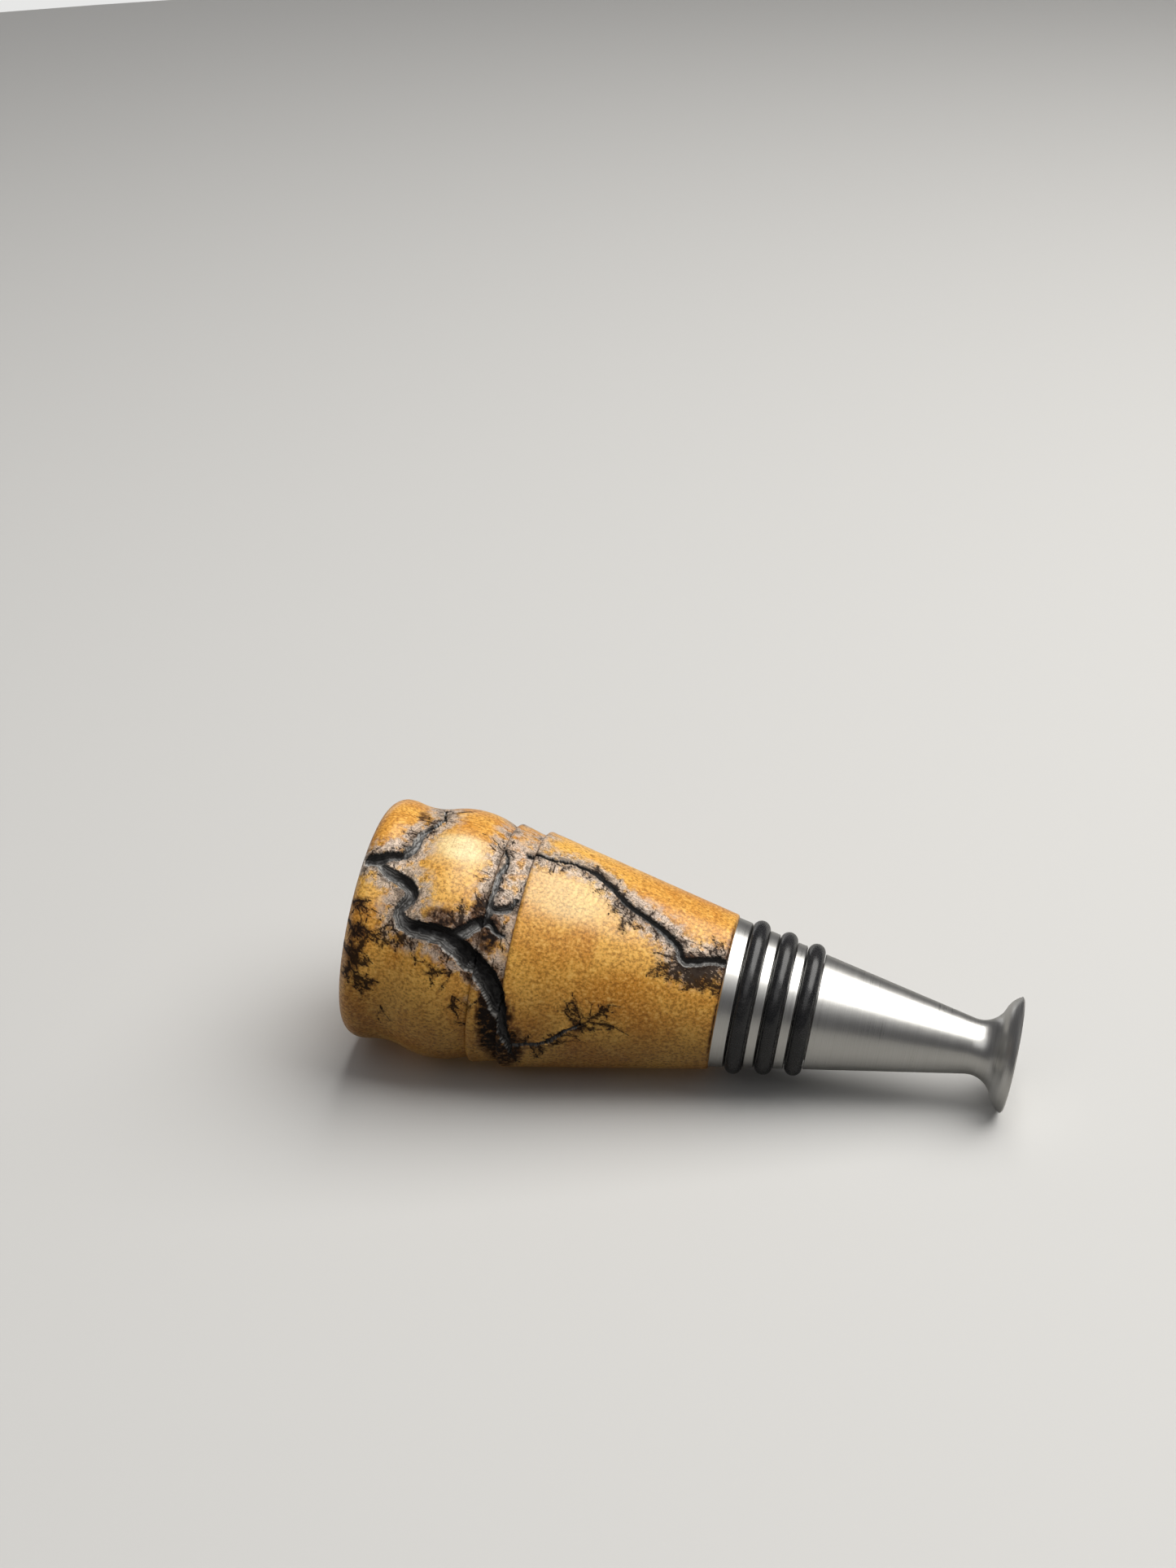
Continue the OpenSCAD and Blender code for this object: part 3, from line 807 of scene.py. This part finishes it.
def sound_wood(tree, place, flecks, drift, lines):
    """Colour of the wood where nothing is burnt: amber with flecks, pores, growth rings and pale places, the
    one on the cone a painted highlight.
    """
    broad = speckle(tree, place, 0.09, 3.0, 0.55, 0.6)
    wood = blend(tree, remap(tree, broad, 0.35, 0.68), AMBER_DARK, AMBER_LIGHT)
    wood = blend(tree, remap(tree, flecks, 0.53, 0.34, 0.0, 0.62), wood, FLECK_DARK)
    wood = blend(tree, remap(tree, flecks, 0.52, 0.70, 0.0, 0.5), wood, FLECK_LIGHT)
    wander = maths(tree, "MULTIPLY", speckle(tree, stretch(tree, place, (1, 1, 0.3)), 0.5, 3.0), 0.45)
    # The pale place on the cone is a painted highlight
    on_cone = pale_place(tree, place, CONE_HIGHLIGHT_MIDDLE, (1, 1, 0.5), wander, 8.6, 3.0)
    on_bead = pale_place(tree, place, BEAD_SPOT, (1, 1, 0.8), wander, 7.2, 2.4)
    wood = blend(tree, maths(tree, "MULTIPLY", on_cone, 0.5), wood, PAINTED_CONE_HIGHLIGHT)
    wood = blend(tree, maths(tree, "MULTIPLY", on_bead, 0.9), wood, PALE_BEAD)
    from_pith = stretch(tree, vectors(tree, "SUBTRACT", place, PITH), (1, 1, 0.02))
    ring_place = maths(tree, "ADD", vectors(tree, "LENGTH", from_pith), wander)
    fine_rings = maths(tree, "SINE", maths(tree, "MULTIPLY", ring_place, 34.0))
    broad_rings = maths(tree, "SINE", maths(tree, "MULTIPLY", ring_place, 4.42))
    level = stretch(tree, place, (1, 1, 0))
    from_axis = maths(tree, "MAXIMUM", vectors(tree, "LENGTH", level), 1.0)
    facing = maths(tree, "DIVIDE", vectors(tree, "DOT_PRODUCT", level, FLAT_WAY), from_axis)
    fine_rings = remap(tree, fine_rings, 0.0, 1.0, 0.0, 0.2)
    wood = blend(tree, maths(tree, "MULTIPLY", fine_rings, remap(tree, facing, 0.88, 0.98)), wood, RING_LINE)
    height = add(tree, "ShaderNodeSeparateXYZ", {0: place}).outputs["Z"]
    on_end = remap(tree, height, END_Z - 0.7, END_Z - 0.1)
    broad_rings = remap(tree, broad_rings, 0.1, 1.0, 0.0, 0.5)
    wood = blend(tree, maths(tree, "MULTIPLY", broad_rings, on_end), wood, END_RING_LINE)
    bent = vectors(tree, "ADD", place, stretch(tree, drift, (0.5, 0.5, 0.5)))
    pores = remap(tree, cell_edges(tree, bent, 2.3), 0.12, 0.0, 0.0, 0.42)
    wood = blend(tree, maths(tree, "MULTIPLY", pores, remap(tree, flecks, 0.65, 0.42)), wood, PORE)
    return blend(tree, remap(tree, lines, 0.52, 0.32, 0.0, 0.2), wood, TOOL_LINE)


def twig_mask(tree, place, drift, near, fuzz):
    """Fine dark lines of the burn: the drawn twigs made gnarly, hair cracks, and a net of cracks."""
    hair = maths(tree, "ABSOLUTE", maths(tree, "SUBTRACT", speckle(tree, place, 2.1, 4.0, 0.62, 0.4), 0.5))
    hair_reach = maths(tree, "MAXIMUM", remap(tree, near, 0.14, 0.55), remap(tree, fuzz, 0.06, 0.4))
    hairs = maths(tree, "MULTIPLY", remap(tree, hair, 0.05, 0.012), hair_reach)
    gnarls = maths(tree, "MULTIPLY", maths(tree, "SUBTRACT", speckle(tree, place, 3.4, 3.0, 0.6), 0.5), 1.3)
    twigs = remap(tree, maths(tree, "ADD", layer(tree, "twigs"), gnarls), 0.42, 0.66)
    creep = vectors(tree, "ADD", place, stretch(tree, drift, (0.9, 0.9, 0.9)))
    net_reach = maths(tree, "MAXIMUM", fuzz, maths(tree, "MULTIPLY", near, 0.42))
    net_width = remap(tree, net_reach, 0.12, 0.8, 0.0, 0.115)
    net = remap(tree, maths(tree, "SUBTRACT", cell_edges(tree, creep, 2.1), net_width), 0.0, -0.045)
    lines = maths(tree, "MAXIMUM", twigs, maths(tree, "MULTIPLY", hairs, 0.75))
    return maths(tree, "MAXIMUM", lines, maths(tree, "MULTIPLY", net, 0.85))


def smoked_wood(tree, wood, place, torn, near, fuzz, scorch_and_shade):
    """Pale haze and brown to black scorch laid on the wood; the scorch is partly painted shade."""
    clouds = speckle(tree, place, 0.75, 3.0, 0.55)
    haze = maths(tree, "MULTIPLY", near, remap(tree, clouds, 0.3, 0.65, 0.4, 1.35))
    wood = blend(tree, remap(tree, haze, 0.18, 0.62, 0.0, 0.76), wood, HAZE_PALE)
    wood = blend(tree, remap(tree, haze, 0.62, 1.0, 0.0, 0.7), wood, HAZE_DARK)
    lips = maths(tree, "MULTIPLY", remap(tree, near, 0.74, 0.92), remap(tree, torn, 0.38, 0.56, 0.0, 0.75))
    wood = blend(tree, lips, wood, HAZE_LIP)
    # Brown to black scorch, which is painted shade in the underside patches by the step and in the steps'
    # corners
    wood = blend(tree, remap(tree, scorch_and_shade, 0.08, 0.5, 0.0, 0.85), wood, SCORCH_AND_SHADE_BROWN)
    wood = blend(tree, remap(tree, scorch_and_shade, 0.38, 0.8), wood, SCORCH_AND_SHADE_BLACK)
    return blend(tree, remap(tree, fuzz, 0.08, 0.6, 0.0, 0.4), wood, FUZZ_BROWN)


def char_ridges(tree, torn):
    """Layers of char on the channels' walls, which follow the channels' edges."""
    down = maths(tree, "MULTIPLY", layer(tree, "depth"), 19.0)
    down = maths(tree, "ADD", down, maths(tree, "MULTIPLY", torn, 9.0))
    return remap(tree, maths(tree, "SINE", down), -0.35, 0.9)


def channel_colour(tree, wood, torn, ridges, carved):
    """Charcoal in the channels' floors, and on the walls that face the light ash with painted light, with a
    painted highlight on their pale edge.
    """
    charcoal = blend(tree, remap(tree, torn, 0.35, 0.7), CHARCOAL_DARK, CHARCOAL_LIGHT)
    wood = blend(tree, remap(tree, carved, 0.12, 0.6), wood, charcoal)
    streaks = maths(tree, "ADD", maths(tree, "MULTIPLY", ridges, 0.7), 0.3)
    ash_and_light = maths(tree, "MULTIPLY", layer(tree, "ash_and_light"), streaks)
    # Pale grey of ash and painted light on the lit walls
    wood = blend(tree, maths(tree, "MULTIPLY", ash_and_light, 0.9), wood, ASH_AND_LIT_GREY)
    # A painted highlight on the pale edge of the lit walls
    return blend(tree, maths(tree, "MULTIPLY", layer(tree, "lit_rim_highlight"), 0.6), wood, RIM_HIGHLIGHT_PALE)


# Heights of the bumps in the three materials
WOOD_BUMP, STEEL_BUMP, RUBBER_BUMP = 0.00009, 0.000012, 0.00002


def wood_material(lines_group):
    """Oiled, flecked amber hardwood with scorched wood, ash and charcoal round the burnt channels, with
    painted shade in some scorches and painted light on the channels' lit walls.
    """
    made, tree, shader = new_material("oiled burnt wood", (0.5, 0.25, 0.06, 1))
    place = millimetres(tree)
    flecks = speckle(tree, stretch(tree, place, (1.0, 1.0, 0.8)), 2.5, 3.0, 0.6, 0.15)
    drift = add(tree, "ShaderNodeTexNoise", {"Vector": place, "Scale": 2.0, "Detail": 2.0}).outputs["Color"]
    lines = use(tree, lines_group, {"Place": place, "Lines per mm": 3.2, "Breakup": 0.8})["Lines"]
    torn = speckle(tree, place, 1.3, 5.0, 0.65)
    near, fuzz, carved = layer(tree, "near_burn"), layer(tree, "fuzz"), layer(tree, "carved")
    # Scorch, partly painted shade
    scorch_and_shade = maths(tree, "MULTIPLY", layer(tree, "scorched_and_shaded"), remap(tree, torn, 0.3, 0.62, 0.45, 1.25))
    dark = twig_mask(tree, place, drift, near, fuzz)
    ridges = char_ridges(tree, torn)
    wood = sound_wood(tree, place, flecks, drift, lines)
    wood = smoked_wood(tree, wood, place, torn, near, fuzz, scorch_and_shade)
    wood = blend(tree, maths(tree, "MULTIPLY", dark, 0.93), wood, TWIG_BLACK)
    wood = channel_colour(tree, wood, torn, ridges, carved)
    burnt = maths(tree, "MAXIMUM", maths(tree, "MAXIMUM", carved, dark), remap(tree, scorch_and_shade, 0.2, 0.7))
    oil_rough = remap(tree, flecks, 0.35, 0.65, 0.40, 0.28)
    char_rough = remap(tree, torn, 0.3, 0.7, 0.38, 0.8)
    rough = add(tree, "ShaderNodeMix", {0: burnt, 2: oil_rough, 3: char_rough}, data_type="FLOAT").outputs[0]
    relief = maths(tree, "ADD", maths(tree, "MULTIPLY", flecks, 0.35), maths(tree, "MULTIPLY", lines, 0.22))
    relief = maths(tree, "SUBTRACT", relief, maths(tree, "MULTIPLY", dark, 0.8))
    ridge_relief = maths(tree, "MULTIPLY", ridges, 0.9)
    char_relief = maths(tree, "ADD", maths(tree, "MULTIPLY", torn, 1.6), ridge_relief)
    relief = maths(tree, "ADD", relief, maths(tree, "MULTIPLY", char_relief, carved))
    bump = add(tree, "ShaderNodeBump", {"Strength": 0.7, "Distance": WOOD_BUMP, "Height": relief})
    oil = remap(tree, burnt, 0.7, 0.1, 0.0, 0.42)
    oil = maths(tree, "MAXIMUM", oil, maths(tree, "MULTIPLY", carved, 0.4))
    connect(tree, shader, {
        "Base Color": wood, "Roughness": rough, "Normal": bump.outputs[0],
        "Specular IOR Level": 0.12, "Coat Weight": oil, "Coat Roughness": 0.24,
    })
    return made


# Colours of the steel, of a smear on it, and of its dust
STEEL_DARK, STEEL_LIGHT = (0.60, 0.59, 0.56, 1), (0.68, 0.67, 0.645, 1)
STEEL_SMEAR, STEEL_DUST = (0.53, 0.515, 0.48, 1), (0.78, 0.77, 0.73, 1)


def steel_material(lines_group, dust):
    """Satin turned stainless steel with fine lines round the axis."""
    made, tree, shader = new_material("turned stainless steel", (0.62, 0.61, 0.58, 1))
    place = millimetres(tree)
    fine = use(tree, lines_group, {"Place": place, "Lines per mm": 14.0, "Breakup": 0.35})["Lines"]
    coarse = use(tree, lines_group, {"Place": place, "Lines per mm": 3.0, "Breakup": 0.6})["Lines"]
    tone = blend(tree, remap(tree, fine, 0.3, 0.7), STEEL_DARK, STEEL_LIGHT)
    smear = speckle(tree, stretch(tree, place, (0.5, 0.5, 0.2)), 0.6, 3.0)
    tone = blend(tree, remap(tree, smear, 0.45, 0.75, 0.0, 0.2), tone, STEEL_SMEAR)
    specks = use(tree, dust, {"Place": place, "Amount": 0.1})["Mask"]
    tone = blend(tree, specks, tone, STEEL_DUST)
    rough = maths(tree, "ADD", remap(tree, fine, 0.3, 0.7, 0.25, 0.34), maths(tree, "MULTIPLY", smear, 0.05))
    relief = maths(tree, "ADD", fine, maths(tree, "MULTIPLY", coarse, 0.5))
    bump = add(tree, "ShaderNodeBump", {"Strength": 0.5, "Distance": STEEL_BUMP, "Height": relief})
    connect(tree, shader, {
        "Base Color": tone, "Metallic": 1.0, "Roughness": rough, "Normal": bump.outputs[0],
    })
    return made


# Colours of the rubber and of its dust
RUBBER_DARK, RUBBER_LIGHT = (0.010, 0.010, 0.011, 1), (0.020, 0.020, 0.021, 1)
RUBBER_DUST = (0.24, 0.23, 0.21, 1)


def rubber_material(dust):
    """Black rubber with a soft sheen and a little dust."""
    made, tree, shader = new_material("black rubber", (0.03, 0.03, 0.032, 1))
    place = millimetres(tree)
    grain = speckle(tree, place, 6.0, 3.0)
    tone = blend(tree, remap(tree, grain, 0.35, 0.7), RUBBER_DARK, RUBBER_LIGHT)
    film = use(tree, dust, {"Place": place, "Amount": 0.12})["Mask"]
    tone = blend(tree, film, tone, RUBBER_DUST)
    rough = maths(tree, "ADD", remap(tree, grain, 0.3, 0.7, 0.19, 0.29), maths(tree, "MULTIPLY", film, 0.6))
    bump = add(tree, "ShaderNodeBump", {"Strength": 0.4, "Distance": RUBBER_BUMP, "Height": grain})
    connect(tree, shader, {
        "Base Color": tone, "Roughness": rough, "Normal": bump.outputs[0], "Specular IOR Level": 0.5,
    })
    return made


# Camera: its place, its lens on the sensor, and which ways are right and up in its picture
CAMERA_PLACE = (0.0, -333.454, 27.9)
CAMERA_LENS, CAMERA_SENSOR = 54.14, 36
CAMERA_RIGHT = (0.2135, 0.0953, -0.9723)
CAMERA_UP = (0.9742, -0.0957, 0.2045)
CAMERA_NEAR, CAMERA_FAR = 10, 20000

# Floor: a disc, with its colours for the camera, for light that it scatters, and in mirror images
FLOOR_NORMAL = (0.810, -0.572, 0.126)
FLOOR_OFFSET = -8.13
FLOOR_RADIUS = 800
FLOOR_SIDES = 128
FLOOR_SEEN, FLOOR_SCATTERED = (0.565, 0.56, 0.547, 1), (0.09, 0.083, 0.076, 1)
FLOOR_MIRRORED = (0.27, 0.266, 0.255, 1)


def place_camera():
    """The photograph's viewpoint: the stopper lies across the view, seen from a little above."""
    right = Vector(CAMERA_RIGHT).normalized()
    up = Vector(CAMERA_UP)
    up = (up - up.dot(right) * right).normalized()
    back = right.cross(up)
    data = bpy.data.cameras.new("camera")
    data.lens = CAMERA_LENS
    data.sensor_width = CAMERA_SENSOR
    data.clip_start, data.clip_end = CAMERA_NEAR * MM, CAMERA_FAR * MM
    camera = bpy.data.objects.new("camera", data)
    turned = Matrix((right, up, back)).transposed().to_4x4()
    camera.matrix_world = Matrix.Translation(Vector(CAMERA_PLACE) * MM) @ turned
    bpy.context.scene.collection.objects.link(camera)
    bpy.context.scene.camera = camera


def floor_material():
    """Pale matt floor, seen only from its front, which lets lamps behind it through."""
    made, tree, shader = new_material("pale floor", (0.8, 0.8, 0.79, 1))
    ray = add(tree, "ShaderNodeLightPath").outputs
    tone = blend(tree, ray["Is Diffuse Ray"], FLOOR_SEEN, FLOOR_SCATTERED)
    tone = blend(tree, ray["Is Glossy Ray"], tone, FLOOR_MIRRORED)
    connect(tree, shader, {"Base Color": tone, "Roughness": 0.75, "Specular IOR Level": 0.2})
    hidden = add(tree, "ShaderNodeBsdfTransparent").outputs[0]
    back = add(tree, "ShaderNodeNewGeometry").outputs["Backfacing"]
    clear = maths(tree, "MAXIMUM", back, ray["Is Shadow Ray"])
    mixed = add(tree, "ShaderNodeMixShader", {0: clear, 1: shader.outputs[0], 2: hidden}).outputs[0]
    tree.links.new(mixed, tree.nodes["Material Output"].inputs["Surface"])
    return made


def lay_floor():
    """The surface on which the photograph's stopper lies, under its foot's edge and its cone's edge."""
    normal = Vector(FLOOR_NORMAL).normalized()
    bm = bmesh.new()
    bmesh.ops.create_circle(bm, cap_ends=True, segments=FLOOR_SIDES, radius=FLOOR_RADIUS * MM)
    turned = normal.to_track_quat("Z", "Y").to_matrix().to_4x4()
    laid = Matrix.Translation(normal * FLOOR_OFFSET * MM) @ turned
    bmesh.ops.transform(bm, matrix=laid, verts=bm.verts)
    mesh = bpy.data.meshes.new("floor")
    bm.to_mesh(mesh)
    bm.free()
    mesh.materials.append(floor_material())
    floor = bpy.data.objects.new("floor", mesh)
    bpy.context.scene.collection.objects.link(floor)


# The place at which every lamp looks
LIT_MIDDLE = (0, 0, 50)
# The world's light, and what the camera sees of it
WORLD_LIGHT, WORLD_SEEN = (0.075, 0.075, 0.08, 1), (0.80, 0.80, 0.79, 1)


def soft_lamp(name, way, distance, width, length, power, colour=(1, 1, 1)):
    """A lamp that looks at the middle of the stopper, with its length up the Z axis. The way goes from there
    to the lamp. Its distance and sizes are in metres, and its power is in watts."""
    data = bpy.data.lights.new(name, "AREA")
    data.shape = "RECTANGLE"
    data.size, data.size_y = width, length
    data.energy = power
    data.color = colour
    lamp = bpy.data.objects.new(name, data)
    away = Vector(way).normalized()
    lamp.location = Vector(LIT_MIDDLE) * MM + away * distance
    lamp.rotation_mode = "QUATERNION"
    lamp.rotation_quaternion = away.to_track_quat("Z", "Y")
    bpy.context.scene.collection.objects.link(lamp)


def light_scene():
    """A dim world that the camera sees pale, one large key lamp, and weak lamps from the other sides."""
    world = bpy.data.worlds.new("studio")
    bpy.context.scene.world = world
    world.use_nodes = True
    tree = world.node_tree
    ray = add(tree, "ShaderNodeLightPath").outputs["Is Camera Ray"]
    seen = blend(tree, ray, WORLD_LIGHT, WORLD_SEEN)
    tree.links.new(seen, tree.nodes["Background"].inputs["Color"])
    soft_lamp("key", (0.85, -0.36, -0.24), 0.75, 0.9, 0.75, 9.0, (1.0, 0.985, 0.955))
    soft_lamp("fill", (0.5, -0.87, 0.1), 1.0, 1.0, 1.0, 2.4)
    soft_lamp("side", (-0.25, 0.35, 1.0), 1.0, 0.6, 0.6, 1.8)
    soft_lamp("back", (0.2, 0.95, 0.3), 1.0, 0.8, 0.8, 3.0)
    soft_lamp("low", (-0.95, 0.25, 0.2), 1.0, 0.8, 0.8, 0.2)


bpy.context.scene.view_settings.view_transform = "Standard"
place_camera()
lay_floor()
light_scene()
turning_lines = turning_lines_group()
dust = dust_group()
wood = wood_material(turning_lines)
steel = steel_material(turning_lines, dust)
rubber = rubber_material(dust)
handle_piece(wood)
steel_body = turn(steel_outline(), [(0, 360, STEEL_COLUMNS)])
finish_piece("steel_stopper", steel_body, STEEL_SHARP, steel)
for number, name in enumerate(["o_ring_bottom", "o_ring_middle", "o_ring_top"]):
    ring_piece(number, name, rubber)
